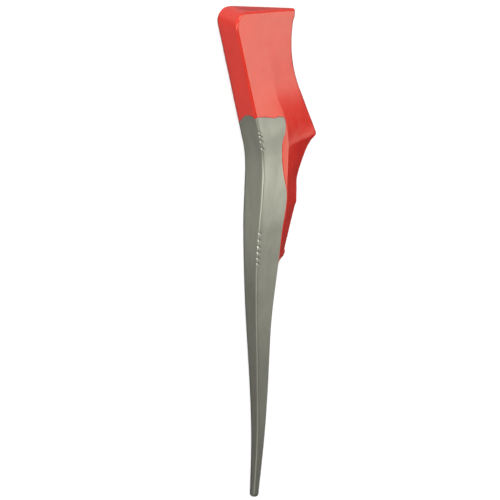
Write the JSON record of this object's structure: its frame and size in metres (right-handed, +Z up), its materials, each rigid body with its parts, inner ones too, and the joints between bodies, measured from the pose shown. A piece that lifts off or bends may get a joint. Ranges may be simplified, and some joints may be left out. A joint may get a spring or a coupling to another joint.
{
  "type": "farrier clinch cutter",
  "caption": "One-piece forged farrier's clinch cutter: a wedge head with a thick spine and a thin blunt hollow edge, enamelled red, and a long tapered bare steel pritchel spike.",
  "frame": {"origin": "under the middle of the tool's box, on the flat back that it lies on", "axes": "+Y from the spike's tip to the top of the head, +X from the thick spine to the thin edge, +Z up from the flat back"},
  "size_m": [0.0336, 0.152, 0.012],
  "materials": {
    "ground_steel": "forged steel ground bare lengthwise, dull grey, with a brighter ridge",
    "red_enamel": "glossy red enamel over the forging, thin at the arrises"
  },
  "bodies": {
    "root": {"forged_body": "ground_steel", "red_coat": "red_enamel"}
  },
  "joints": []
}
